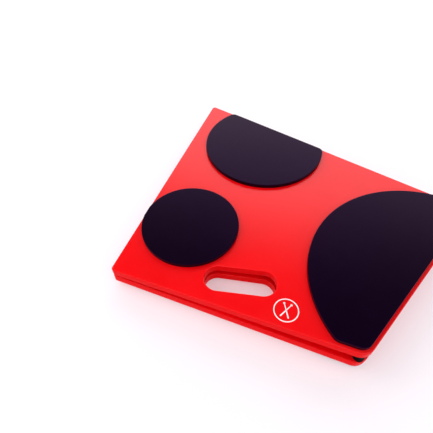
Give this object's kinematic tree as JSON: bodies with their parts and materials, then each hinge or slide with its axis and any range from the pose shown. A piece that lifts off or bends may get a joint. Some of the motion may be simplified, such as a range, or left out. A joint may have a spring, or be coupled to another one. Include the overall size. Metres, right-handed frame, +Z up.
{
  "type": "folding practice pad board",
  "caption": "Folding pair of flat red boards with black rubber playing pads, joined back to back by hinges, with a hand slot through both.",
  "frame": {"origin": "on the floor, below the middle of the bounding box of the folded set, which lies flat on its lower pads", "axes": "+X from the hinge line to the outer edge, +Y from the front edge to the back edge, +Z up"},
  "size_m": [0.473, 0.4144, 0.061],
  "materials": {
    "board": "satin red sheet with eased edges",
    "pad": "matt black rubber sheet",
    "foot": "matt moulded black rubber",
    "hinge": "plain rolled steel",
    "screw": "zinc plated"
  },
  "bodies": {
    "right_half": {"right_board": "board", "right_small_pad": "pad", "right_back_pad": "pad", "right_large_pad": "pad", "right_hinge_leaf_1": "hinge", "right_hinge_leaf_1_screw_1": "screw", "right_hinge_leaf_1_screw_2": "screw", "right_hinge_leaf_2": "hinge", "right_hinge_leaf_2_screw_1": "screw", "right_hinge_leaf_2_screw_2": "screw", "right_hinge_leaf_3": "hinge", "right_hinge_leaf_3_screw_1": "screw", "right_hinge_leaf_3_screw_2": "screw", "right_front_foot": "foot", "right_front_foot_screw": "screw", "right_back_foot": "foot", "right_back_foot_screw": "screw", "hinge_pin_1": "hinge", "hinge_pin_2": "hinge", "hinge_pin_3": "hinge"},
    "left_half": {"left_board": "board", "left_small_pad": "pad", "left_back_pad": "pad", "left_large_pad": "pad", "left_hinge_leaf_1": "hinge", "left_hinge_leaf_1_screw_1": "screw", "left_hinge_leaf_1_screw_2": "screw", "left_hinge_leaf_2": "hinge", "left_hinge_leaf_2_screw_1": "screw", "left_hinge_leaf_2_screw_2": "screw", "left_hinge_leaf_3": "hinge", "left_hinge_leaf_3_screw_1": "screw", "left_hinge_leaf_3_screw_2": "screw", "left_front_foot": "foot", "left_front_foot_screw": "screw", "left_back_foot": "foot", "left_back_foot_screw": "screw"}
  },
  "joints": [
    {"name": "fold", "type": "hinge", "parent": "right_half", "child": "left_half", "pos_m": [-0.23447, -0.20723, 0.02095], "axis": [0, 1, 0], "range_deg": [0, 177.64]}
  ]
}
